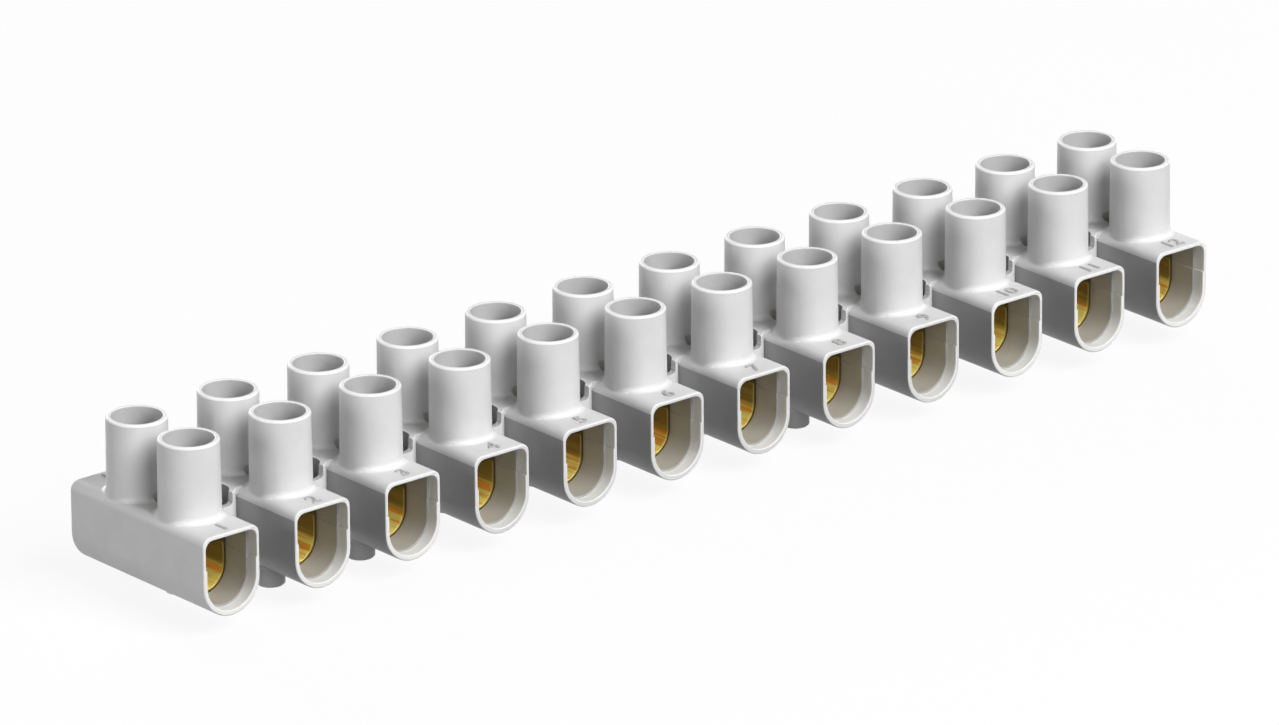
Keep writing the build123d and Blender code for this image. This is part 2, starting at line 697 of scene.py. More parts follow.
def carved(base: bpy.types.Object, steps: list[tuple[Cut, bpy.types.Object]]) -> bpy.types.Object:
    """Adds solids to a base and takes others away, in order.

    Args:
        base: The object that is changed.
        steps: What is done with each further object, which is then removed.

    Returns:
        The base.
    """
    for how, tool in steps:
        modifier = base.modifiers.new(how.name, "BOOLEAN")
        modifier.operation = how.value
        modifier.solver = "MANIFOLD"
        modifier.object = tool
    settled(base)
    for _, tool in steps:
        discard(tool)
    return base


def discard(piece: bpy.types.Object) -> None:
    """Removes an object and its mesh.

    Args:
        piece: The object to remove.
    """
    mesh = piece.data
    bpy.data.objects.remove(piece)
    bpy.data.meshes.remove(mesh)


def joined(pieces: list[bpy.types.Object], name: str) -> bpy.types.Object:
    """Joins objects into one.

    Args:
        pieces: The objects to join, which are removed.
        name: The name of the result.

    Returns:
        The joined object.
    """
    work = bmesh.new()
    for piece in pieces:
        work.from_mesh(piece.data)
    mesh = bpy.data.meshes.new(name)
    work.to_mesh(mesh)
    work.free()
    for piece in pieces:
        discard(piece)
    return linked(name, mesh)


def smoothed(piece: bpy.types.Object, angle: float = 32.0) -> bpy.types.Object:
    """Shades a piece smooth, apart from edges sharper than an angle, and keeps its flat faces flat.

    Args:
        piece: The object to shade.
        angle: The least angle of a sharp edge in degrees.

    Returns:
        The same object.
    """
    mesh = piece.data
    mesh.shade_smooth()
    mesh.set_sharp_from_angle(angle=math.radians(angle))
    modifier = piece.modifiers.new("even", "WEIGHTED_NORMAL")
    modifier.mode = "FACE_AREA"
    modifier.keep_sharp = True
    return settled(piece)


def marked_edges(
    piece: bpy.types.Object, narrow: float = 0.1, low: float = 7.0, high: float = 40.0
) -> None:
    """Writes on each face how much it belongs to a small rounding, which the plastic paints with a
    highlight.

    Args:
        piece: The object to mark, in millimetres.
        narrow: The greatest width of a rounding's faces.
        low: The least bend in degrees between two faces of a rounding.
        high: The greatest bend in degrees between two faces of a rounding.
    """
    work = bmesh.new()
    work.from_mesh(piece.data)
    marks = np.zeros(len(work.faces), dtype=np.float32)
    for edge in work.edges:
        if len(edge.link_faces) != 2:
            continue
        if low < math.degrees(edge.calc_face_angle_signed(0.0)) < high:
            for face in edge.link_faces:
                longest = max(e.calc_length() for e in face.edges)
                if face.calc_area() < longest * narrow:
                    marks[face.index] += 0.5
    work.free()
    attribute = piece.data.attributes.new("edge_highlight", "FLOAT", "FACE")
    attribute.data.foreach_set("value", np.minimum(marks, 1.0))


def dress(piece: bpy.types.Object, material: bpy.types.Material) -> None:
    """Gives a piece one finish in place of what it has.

    Args:
        piece: The object to dress.
        material: Its finish.
    """
    piece.data.materials.clear()
    piece.data.materials.append(material)


def in_metres(piece: bpy.types.Object) -> bpy.types.Object:
    """Scales a piece's mesh from millimetres to metres.

    Args:
        piece: The object to scale.

    Returns:
        The same object.
    """
    piece.data.transform(Matrix.Scale(MM, 4))
    return piece


# Trees that repeat and wind forms.


@dataclass
class RowTree:
    """Sets copies of a form out in a row and gives them one finish."""

    name: str
    material: bpy.types.Material

    def build(self) -> bpy.types.NodeTree:
        """Makes the tree.

        Returns:
            A tree with the inputs Form, Count, Start and Step.
        """
        tree = bpy.data.node_groups.new(self.name, "GeometryNodeTree")
        face = tree.interface
        face.new_socket("Form", in_out="INPUT", socket_type="NodeSocketGeometry")
        face.new_socket("Count", in_out="INPUT", socket_type="NodeSocketInt")
        face.new_socket("Start", in_out="INPUT", socket_type="NodeSocketVector")
        face.new_socket("Step", in_out="INPUT", socket_type="NodeSocketVector")
        face.new_socket("Row", in_out="OUTPUT", socket_type="NodeSocketGeometry")
        graph = Graph(tree)
        given = graph.node("NodeGroupInput").outputs
        line = graph.node(
            "GeometryNodeMeshLine",
            {"mode": "OFFSET"},
            {"Count": given["Count"], "Start Location": given["Start"], "Offset": given["Step"]},
        )
        copies = graph.node(
            "GeometryNodeInstanceOnPoints", {}, {"Points": line.outputs[0], "Instance": given["Form"]}
        )
        row = finished_form(graph, copies.outputs[0], self.material)
        graph.node("NodeGroupOutput", {}, {"Row": row})
        return tree


def finished_form(
    graph: Graph, form: bpy.types.NodeSocket, material: bpy.types.Material
) -> bpy.types.NodeSocket:
    """Makes the copies in a form real and gives it one finish, as the last steps of a tree.

    Args:
        graph: The tree's builder.
        form: The form so far.
        material: Its finish.

    Returns:
        The finished form.
    """
    real = graph.node("GeometryNodeRealizeInstances", {}, {0: form})
    dressed = graph.node("GeometryNodeSetMaterial", {}, {"Geometry": real.outputs[0], "Material": material})
    return dressed.outputs[0]


def grown(
    piece: bpy.types.Object, tree: bpy.types.NodeTree, inputs: dict[str, object]
) -> bpy.types.Object:
    """Runs a geometry tree on a piece.

    Args:
        piece: The object whose mesh goes in and is replaced.
        tree: The tree to run.
        inputs: Input name to value.

    Returns:
        The same object.
    """
    modifier = piece.modifiers.new(tree.name, "NODES")
    modifier.node_group = tree
    for item in tree.interface.items_tree:
        if item.in_out == "INPUT" and item.name in inputs:
            modifier[item.identifier] = inputs[item.name]
    return settled(piece)


def in_row(
    piece: bpy.types.Object, tree: bpy.types.NodeTree, count: int, first: float, pitch: float
) -> bpy.types.Object:
    """Turns a piece into a row of its copies along X.

    Args:
        piece: The object to repeat.
        tree: A RowTree's tree.
        count: The number of copies.
        first: The place of the first one.
        pitch: The distance from one to the next.

    Returns:
        The same object.
    """
    return grown(piece, tree, {"Count": count, "Start": (first, 0, 0), "Step": (pitch, 0, 0)})


# The moulding.


@dataclass
class Channel:
    """A flat-topped outline with a round bottom, a little wider above the parting height."""

    half: float
    step: float
    floor: float
    roof: float
    corner: float
    parting: float
    base_steps: int = 28
    corner_steps: int = 6
    least_corner: float = 0.03

    def loop(self, y: float, grow: float = 0.0) -> Loop:
        """The outline at one depth.

        Args:
            y: Its place along the channel.
            grow: How far each wall moves outwards.

        Returns:
            The loop of points.
        """
        half, wide = self.half + grow, self.half + self.step + grow
        floor, roof = self.floor - grow, self.roof + grow
        corner = max(self.corner + grow, self.least_corner)
        outline: list[Point] = []
        if self.step:
            outline += [(half, self.parting), (wide, self.parting)]
        outline += arc((wide - corner, roof - corner), corner, 0, 90, self.corner_steps)
        outline += arc((corner - wide, roof - corner), corner, 90, 180, self.corner_steps)
        if self.step:
            outline += [(-wide, self.parting), (-half, self.parting)]
        outline += arc((0, floor + half), half, 180, 360, self.base_steps)
        return [(x, y, z) for x, z in outline]


@dataclass
class Moulding:
    """The one-piece plastic housing: poles with towers, bosses between them, pegs and pads below."""

    finish: MouldedPlastic
    poles: int = 12
    body_half: float = 3.05
    body_length: float = 18.8
    body_height: float = 7.7
    shoulder: float = 0.85
    parting: float = 4.7
    edge: float = 0.14
    rim: float = 0.09
    entry_depth: float = 1.2
    entry_half: float = 2.63
    entry_step: float = 0.13
    entry_floor: float = 0.5
    entry_roof: float = 7.35
    entry_corner: float = 0.8
    lip: float = 0.03
    passage_half: float = 2.45
    passage_step: float = 0.05
    passage_floor: float = 0.7
    passage_roof: float = 7.05
    passage_corner: float = 0.2
    tower_y: float = 3.64
    tower_r: float = 2.72
    tower_foot_r: float = 2.79
    tower_top: float = 14.7
    tower_edge: float = 0.2
    bore_r: float = 2.25
    bore_edge: float = 0.12
    foot_r: float = 0.5
    boss_r: float = 2.25
    boss_edge: float = 0.1
    bridge_half_depth: float = 1.35
    bridge_height: float = 0.6
    bridge_edge: float = 0.08
    fixing_r: float = 1.25
    recess_r: float = 1.7
    recess_depth: float = 1.55
    notch_half: float = 0.9
    notch_depth: float = 1.06
    notch_corner: float = 0.4
    window_half: float = 0.5
    window_bite: float = 0.2
    window_rise: float = 0.7
    window_corner: float = 0.15
    peg_poles: tuple[int, ...] = (2, 3, 8)
    peg_y: float = -1.9
    peg_r: float = 1.3
    peg_length: float = 1.8
    peg_edge: float = 0.15
    seat_r: float = 1.6
    seat_z: float = 0.02
    pad_r: float = 1.2
    pad_z: float = 0.1
    root: float = 0.5

    # Steps in full turns and in roundings.
    segments: int = 60
    peg_segments: int = 40
    edge_steps: int = 4
    window_steps: int = 3
    foot_steps: int = 6

    # How far the solids that cut and join run past the faces that they meet.
    over: float = 0.5
    mouth_over: float = 0.4
    bore_over: float = 0.3
    window_over: float = 0.2
    foot_depth: float = 0.3

    # Where the painted shade, painted light and painted edge highlights on faces begin and end, and how far
    # a marked face may lean.
    slack: float = 0.03
    facing: float = 0.3
    upright: float = 0.5
    step_band: float = 0.1
    foot_band: float = 0.3
    unhighlighted_z: float = 0.3
    unhighlighted_half: float = 0.25
    mouth_band: float = 0.2
    mouth_highlight: float = 0.7
    gap_foot: float = 0.01
    gap_side: float = 1.0

    def body(self) -> Solid:
        """The outer tube of one pole, with rounded end edges.

        Returns:
            The solid, at x = 0.
        """
        outline = Channel(self.body_half, 0, 0, self.body_height, self.shoulder, self.parting)
        half = self.body_length / 2
        return Solid.mirrored([(outline, half - depth, -grow) for depth, grow in self._rounding(self.edge)])

    def hollow(self) -> Solid:
        """What runs through one pole: both entries, their rounded rims, and the passage between them.

        Returns:
            The solid to take away.
        """
        entry = Channel(
            self.entry_half,
            self.entry_step,
            self.entry_floor,
            self.entry_roof,
            self.entry_corner,
            self.parting,
        )
        passage = Channel(
            self.passage_half,
            self.passage_step,
            self.passage_floor,
            self.passage_roof,
            self.passage_corner,
            self.parting,
        )
        half = self.body_length / 2
        rows = [(entry, half + self.mouth_over, self.rim)]
        rows += [(entry, half - depth, grow) for depth, grow in self._rounding(self.rim)]
        rows += [(entry, half - self.entry_depth, 0.0)]
        floor = half - self.entry_depth
        rows += [(passage, floor - depth, grow) for depth, grow in self._rounding(self.lip)]
        return Solid.mirrored(rows)

    def _rounding(self, radius: float) -> list[Point]:
        """Depth and widening along a rounded edge.

        Args:
            radius: The edge's radius.

        Returns:
            Pairs from the face inwards.
        """
        steps = self.edge_steps
        angles = [math.pi / 2 * i / steps for i in range(steps + 1)]
        return [(radius * (1 - math.cos(a)), radius * (1 - math.sin(a))) for a in angles]

    def tower(self, side: Side) -> Solid:
        """The outer form of a tower, rounded at its top edge.

        Args:
            side: The long side on which it stands.

        Returns:
            The solid to add.
        """
        edge, top = self.tower_edge, self.tower_top
        outline = [(0, self.passage_roof), (self.tower_foot_r, self.passage_roof)]
        outline += arc((self.tower_r - edge, top - edge), edge, 0, 90, self.edge_steps + 1)
        outline.append((0, top))
        return Solid.turned(outline, self.segments, (0, side.value * self.tower_y))

    def bore(self, side: Side) -> Solid:
        """The screwdriver hole of a tower, with its rounded rim.

        Args:
            side: The long side on which it stands.

        Returns:
            The solid to take away.
        """
        edge, top = self.bore_edge, self.tower_top
        low, high = self.passage_roof - self.bore_over, top + self.over
        outline = [(0, low), (self.bore_r, low)]
        outline += arc((self.bore_r + edge, top - edge), edge, 180, 90, self.edge_steps)
        outline += [(self.bore_r + edge, high), (0, high)]
        return Solid.turned(outline, self.segments, (0, side.value * self.tower_y))

    def window(self) -> Solid:
        """The opening through the roof between the towers, which bites a little into their walls.

        Returns:
            The solid to take away.
        """
        corner = self.window_corner
        x = self.window_half - corner
        y = self.tower_y - self.tower_r + self.window_bite - corner
        outline: list[Point] = []
        for quarter, centre in enumerate([(x, y), (-x, y), (-x, -y), (x, -y)]):
            outline += arc(centre, corner, quarter * 90, quarter * 90 + 90, self.window_steps)
        heights = (self.passage_roof - self.window_over, self.body_height + self.window_rise)
        return Solid.lofted([[(x, y, z) for x, y in outline] for z in heights])

    def foot(self, side: Side) -> Solid:
        """The blend that a ball would leave between a tower's wall and the body's top and shoulders.

        Args:
            side: The long side on which it stands.

        Returns:
            The ring to add.
        """
        loops: list[Loop] = []
        ball = self.foot_r
        flat = self.body_half - self.shoulder
        hub = self.body_height - self.shoulder
        y0 = side.value * self.tower_y
        for i in range(self.segments):
            angle = 2 * math.pi * i / self.segments
            c, s = math.cos(angle), math.sin(angle)
            x, y = (self.tower_foot_r + ball) * c, (self.tower_foot_r + ball) * s
            past = abs(x) - flat
            if past <= 0:
                centre = Vector((x, y, self.body_height + ball))
                low = Vector((x, y, self.body_height))
            else:
                rise = math.sqrt((self.shoulder + ball) ** 2 - past**2)
                centre = Vector((x, y, hub + rise))
                share = self.shoulder / (self.shoulder + ball)
                low = Vector((math.copysign(flat + past * share, x), y, hub + rise * share))
            high = Vector((self.tower_foot_r * c, self.tower_foot_r * s, centre.z))
            start, end = (high - centre), (low - centre)
            swing = start.angle(end)
            loop = []
            for k in range(self.foot_steps + 1):
                t = k / self.foot_steps
                way = (start * math.sin((1 - t) * swing) + end * math.sin(t * swing)) / math.sin(swing)
                loop.append(centre + way)
            inner = self.tower_foot_r - self.foot_depth
            loop.append(low - Vector((0, 0, self.foot_depth)))
            loop.append(Vector((inner * c, inner * s, low.z - self.foot_depth)))
            loop.append(Vector((inner * c, inner * s, centre.z)))
            loops.append([(p.x, p.y + y0, p.z) for p in loop])
        return Solid.ringed(loops)

    def pole(self) -> bpy.types.Object:
        """One pole, carved from its solids.

        Returns:
            The pole at x = 0.
        """
        base = self.body().placed("pole")
        steps = []
        for side in Side:
            steps.append((Cut.ADD, self.tower(side).placed("tower")))
            steps.append((Cut.ADD, self.foot(side).placed("foot")))
        steps.append((Cut.TAKE, self.hollow().placed("hollow")))
        steps += [(Cut.TAKE, self.bore(side).placed("bore")) for side in Side]
        steps.append((Cut.TAKE, self.window().placed("window")))
        return carved(base, steps)

    def boss(self, gap: float) -> bpy.types.Object:
        """The post between two poles, with its bridge, hole, recess and notches.

        Args:
            gap: The room between the flat tops of two poles.

        Returns:
            The post at x = 0.
        """
        top, edge = self.body_height, self.boss_edge
        outline = [(0, 0), (self.boss_r - edge, 0)]
        outline += arc((self.boss_r - edge, edge), edge, -90, 0, self.edge_steps)
        outline += arc((self.boss_r - edge, top - edge), edge, 0, 90, self.edge_steps)
        outline.append((0, top))
        post = Solid.turned(outline, self.segments).placed("post")
        floor, over = top - self.recess_depth, self.over
        shaft = [(0, -over), (self.fixing_r, -over), (self.fixing_r, floor), (self.recess_r, floor)]
        shaft += arc((self.recess_r + edge, top - edge), edge, 180, 90, self.edge_steps)
        shaft += [(self.recess_r + edge, top + over), (0, top + over)]
        steps = [
            (Cut.ADD, self._bridge(gap).placed("bridge")),
            (Cut.TAKE, Solid.turned(shaft, self.segments).placed("shaft")),
            (Cut.TAKE, self._notch().placed("notch")),
        ]
        return carved(post, steps)

    def _bridge(self, gap: float) -> Solid:
        """The block that makes a boss's top flush with the poles.

        Args:
            gap: The room between the flat tops of two poles.

        Returns:
            The solid to add.
        """
        low, high = self.body_height - self.bridge_height, self.body_height
        edge, half, deep = self.bridge_edge, gap / 2, self.bridge_half_depth
        outline = [(deep, low), (deep, high - edge), (deep - edge, high), (edge - deep, high)]
        outline += [(-deep, high - edge), (-deep, low)]
        return Solid.lofted([[(x, y, z) for y, z in outline] for x in (-half, half)])

    def _notch(self) -> Solid:
        """The round-cornered slot across a boss.

        Returns:
            The solid to take away.
        """
        half, corner = self.notch_half, self.notch_corner
        floor, high = self.body_height - self.notch_depth, self.body_height + self.over
        outline = [(-half, high)]
        outline += arc((corner - half, floor + corner), corner, 180, 270, self.edge_steps)
        outline += arc((half - corner, floor + corner), corner, 270, 360, self.edge_steps)
        outline.append((half, high))
        reach = self.boss_r + self.over
        return Solid.lofted([[(x, y, z) for x, z in outline] for y in (-reach, reach)])

    def underside(self, places: dict[int, float]) -> list[tuple[Cut, bpy.types.Object]]:
        """The pegs with their seats, and the flat pads of the other poles.

        Args:
            places: Pole number to its place along the row.

        Returns:
            The steps that add and take them.
        """
        length, edge, seat, pad = self.peg_length, self.peg_edge, self.seat_z, self.pad_z
        peg_outline = [(0, -length), (self.peg_r - edge, -length), (self.peg_r, edge - length)]
        peg_outline += [(self.peg_r, seat), (self.seat_r, seat), (self.seat_r, self.root), (0, self.root)]
        pad_outline = [(0, pad), (self.pad_r, pad), (self.pad_r, self.root), (0, self.root)]
        clear_outline = [(0, -self.over), (self.pad_r, -self.over), (self.pad_r, pad), (0, pad)]
        steps = []
        for number, x in places.items():
            if number in self.peg_poles:
                forms = [(Cut.ADD, peg_outline, "peg")]
            else:
                forms = [(Cut.ADD, pad_outline, "pad"), (Cut.TAKE, clear_outline, "clear")]
            for how, outline, name in forms:
                solid = Solid.turned(outline, self.peg_segments, (x, self.peg_y))
                steps.append((how, solid.placed(name)))
        return steps

    def build(self, places: dict[int, float]) -> bpy.types.Object:
        """Makes the whole moulding and puts it in place of its node.

        Args:
            places: Pole number to its place along the row, in millimetres.

        Returns:
            The finished piece.
        """
        material = self.finish.build()
        pitch = places[2] - places[1]
        tree = RowTree("moulding_row", material).build()
        row = in_row(self.pole(), tree, self.poles, places[1], pitch)
        gap = pitch - 2 * (self.body_half - self.shoulder)
        posts = in_row(self.boss(gap), tree, self.poles - 1, places[1] + pitch / 2, pitch)
        carved(row, [(Cut.ADD, posts), *self.underside(places)])
        row.name = "moulded_housing"
        smoothed(row)
        marked_edges(row)
        self._paint_light(row, pitch)
        in_metres(row)
        dress(row, material)
        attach(row, STRIP_BODY)
        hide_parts("housing")
        return row

    def _paint_light(self, piece: bpy.types.Object, pitch: float) -> None:
        """Writes the painted shade or painted light of each face as a colour attribute that the plastic
        reads, and takes the painted highlight off edges that lie in painted shade.

        Args:
            piece: The whole moulding, in millimetres.
            pitch: The distance between poles.
        """
        mesh = piece.data
        colours = np.ones((len(mesh.polygons), 4), dtype=np.float32)
        highlight = mesh.attributes["edge_highlight"].data
        for face in mesh.polygons:
            shelter = self._shelter(face.center, face.normal, pitch)
            colours[face.index] = shelter.value
            # No painted edge highlight in painted shade or in a band just above the top, and less of it at
            # the mouths.
            hidden = shelter is not Shelter.OPEN and shelter is not Shelter.THIN
            if hidden or abs(face.center.z - self.body_height - self.unhighlighted_z) < self.unhighlighted_half:
                highlight[face.index].value = 0.0
            elif abs(face.center.y) > self.body_length / 2 - self.mouth_band:
                highlight[face.index].value *= self.mouth_highlight
        mesh.attributes.new("shelter", "FLOAT_COLOR", "FACE").data.foreach_set("color", colours.ravel())

    def _shelter(self, centre: Vector, normal: Vector, pitch: float) -> Shelter:
        """Tells which painted shade or painted light a face gets, from the hollow or place in which it
        lies.

        Args:
            centre: The face's middle.
            normal: Its outward direction.
            pitch: The distance between poles.

        Returns:
            The kind of place.
        """
        y, z = centre.y, centre.z
        x = (centre.x + pitch / 2) % pitch - pitch / 2
        from_pole = x - math.copysign(pitch / 2, x)
        aside, along, above, slack = abs(from_pole), abs(y), z - self.body_height, self.slack
        if z < -slack:
            return Shelter.BELOW
        if math.hypot(x, y) < self.recess_r + slack and z < self.body_height - self.boss_edge - slack:
            return Shelter.RECESS
        inner = self.body_length / 2 - self.entry_depth + slack
        inward = normal.x * from_pole + normal.z * (z - self.passage_roof / 2)
        in_tube = aside < self.entry_half + self.entry_step + slack and z < self.entry_roof + slack
        if in_tube and abs(normal.y) > self.facing and inner - self.step_band < along < inner:
            return Shelter.STEP
        if in_tube and inward < 0:
            if along > inner:
                return Shelter.THIN
            if aside < self.passage_half + self.passage_step + slack and z < self.passage_roof + slack:
                return Shelter.PASSAGE
        between = along < self.tower_y - self.bore_r and aside < self.window_half + slack
        if between and z < self.body_height + self.window_rise:
            return Shelter.WINDOW if abs(normal.z) < self.upright else Shelter.OPEN
        from_tower = math.hypot(from_pole, along - self.tower_y)
        if from_tower < self.bore_r + slack and z > self.passage_roof:
            return Shelter.BORE
        if self.tower_foot_r < from_tower < self.tower_foot_r + self.foot_r and 0 < above < self.foot_band:
            return Shelter.FOOT
        in_gap = abs(centre.x) < pitch * (self.poles - 1) / 2 and aside > self.gap_side
        on_wall = self.gap_foot < z < self.body_height - self.shoulder and abs(normal.y) < self.facing
        return Shelter.GAP if in_gap and on_wall else Shelter.OPEN


# The metal inside.


@dataclass
class Inserts:
    """The brass tubes that hold the wires, all of one pattern."""

    finish: DrawnBrass
    poles: int = 12
    half: float = 2.4
    floor: float = 0.75
    roof: float = 6.95
    length: float = 10.9
    wall: float = 0.35
    corner: float = 0.2
    edge: float = 0.06
    tunnel_roof: float = 5.2
    tunnel_corner: float = 0.4
    flare: float = 0.12
    flare_mid: float = 0.05
    flare_depth: float = 0.18
    hole_y: float = 3.64
    hole_r: float = 1.5
    sink: float = 0.2

    # How far the solids that cut run past the faces that they open.
    over: float = 0.4
    mouth_over: float = 0.3

    # The least share of its normal along Y that makes a face a cut end.
    end_facing: float = 0.8
    base_steps: int = 36
    corner_steps: int = 4
    segments: int = 40

    def tube(self) -> Solid:
        """The outer form of an insert, its ends a little eased.

        Returns:
            The solid, at x = 0.
        """
        steps = (self.base_steps, self.corner_steps)
        outline = Channel(self.half, 0, self.floor, self.roof, self.corner, 0, *steps)
        half, edge = self.length / 2, self.edge
        middle = edge * ROUND_MID
        ends = [(half, -edge), (half - middle, -middle), (half - edge, 0)]
        return Solid.mirrored([(outline, y, grow) for y, grow in ends])

    def tunnel(self) -> Solid:
        """The way for the wire, widened a little at its mouths.

        Returns:
            The solid to take away.
        """
        wide, floor = self.half - self.wall, self.floor + self.wall
        outline = Channel(wide, 0, floor, self.tunnel_roof, self.tunnel_corner, 0, self.base_steps)
        half, flare, middle = self.length / 2, self.flare, self.flare_mid
        ends = [(half + self.mouth_over, flare), (half, flare)]
        ends += [(half - middle, middle), (half - self.flare_depth, 0)]
        return Solid.mirrored([(outline, y, grow) for y, grow in ends])

    def hole(self, side: Side) -> Solid:
        """A screw hole through the thick roof, sunk at its top.

        Args:
            side: The long side on which it stands.

        Returns:
            The solid to take away.
        """
        low, high, top = self.tunnel_roof - self.over, self.roof, self.roof + self.over
        wide = self.hole_r + self.sink
        outline = [(0, low), (self.hole_r, low), (self.hole_r, high - self.sink)]
        outline += [(wide, high), (wide, top), (0, top)]
        return Solid.turned(outline, self.segments, (0, side.value * self.hole_y))

    def build(self, places: dict[int, float]) -> bpy.types.Object:
        """Makes all inserts as one piece and puts it in place of their nodes.

        Args:
            places: Pole number to its place along the row, in millimetres.

        Returns:
            The finished piece.
        """
        material = self.finish.build()
        steps = [(Cut.TAKE, self.tunnel().placed("tunnel"))]
        steps += [(Cut.TAKE, self.hole(side).placed("hole")) for side in Side]
        one = carved(self.tube().placed("brass_inserts"), steps)
        tree = RowTree("insert_row", material).build()
        pitch = places[2] - places[1]
        in_row(one, tree, self.poles, places[1], pitch)
        smoothed(one)
        normals = np.zeros(3 * len(one.data.polygons), dtype=np.float32)
        one.data.polygons.foreach_get("normal", normals)
        ends = (np.abs(normals[1::3]) > self.end_facing).astype(np.float32)
        one.data.attributes.new("cut_end", "FLOAT", "FACE").data.foreach_set("value", ends)
        in_metres(one)
        dress(one, material)
        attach(one, STRIP_BODY)
        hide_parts(*[f"insert_{n:02d}" for n in places])
        return one


@dataclass
class ScrewTree:
    """Winds a thread round a screw's core, and sets the screw in its place."""

    material: bpy.types.Material
    turn_steps: int = 28
    ridge_corners: int = 4

    def build(self) -> bpy.types.NodeTree:
        """Makes the tree.

        Returns:
            A tree with the inputs Core, Radius, Depth, Pitch, Length, Foot, Place and Turn.
        """
        tree = bpy.data.node_groups.new("clamp_screw", "GeometryNodeTree")
        face = tree.interface
        face.new_socket("Core", in_out="INPUT", socket_type="NodeSocketGeometry")
        for name in ("Radius", "Depth", "Pitch", "Length", "Foot", "Turn"):
            face.new_socket(name, in_out="INPUT", socket_type="NodeSocketFloat")
        face.new_socket("Place", in_out="INPUT", socket_type="NodeSocketVector")
        face.new_socket("Screw", in_out="OUTPUT", socket_type="NodeSocketGeometry")
        graph = Graph(tree)
        given = graph.node("NodeGroupInput").outputs
        sizes = ("Radius", "Depth", "Pitch", "Length")
        radius, depth, pitch, length = (graph.value(given[name]) for name in sizes)
        path = radius - depth * 0.5
        helix = graph.node(
            "GeometryNodeCurveSpiral",
            {},
            {
                "Resolution": self.turn_steps,
                "Rotations": length / pitch,
                "Start Radius": path,
                "End Radius": path,
                "Height": length,
                "Reverse": True,
            },
        )
        foot = graph.node("ShaderNodeCombineXYZ", {}, {"Z": given["Foot"]})
        raised = graph.node(
            "GeometryNodeTransform", {}, {"Geometry": helix.outputs[0], "Translation": foot.outputs[0]}
        )
        ring = {"Resolution": self.ridge_corners, "Radius": depth * 0.5}
        ridge = graph.node("GeometryNodeCurvePrimitiveCircle", {}, ring)
        thread = graph.node(
            "GeometryNodeCurveToMesh",
            {},
            {"Curve": raised.outputs[0], "Profile Curve": ridge.outputs[0], "Fill Caps": True},
        )
        both = graph.node("GeometryNodeJoinGeometry")
        graph.feed(both.inputs[0], given["Core"])
        graph.feed(both.inputs[0], thread.outputs[0])
        spin = graph.node("ShaderNodeCombineXYZ", {}, {"Z": given["Turn"]})
        stood = graph.node(
            "GeometryNodeTransform",
            {},
            {"Geometry": both.outputs[0], "Translation": given["Place"], "Rotation": spin.outputs[0]},
        )
        screw = finished_form(graph, stood.outputs[0], self.material)
        graph.node("NodeGroupOutput", {}, {"Screw": screw})
        return tree


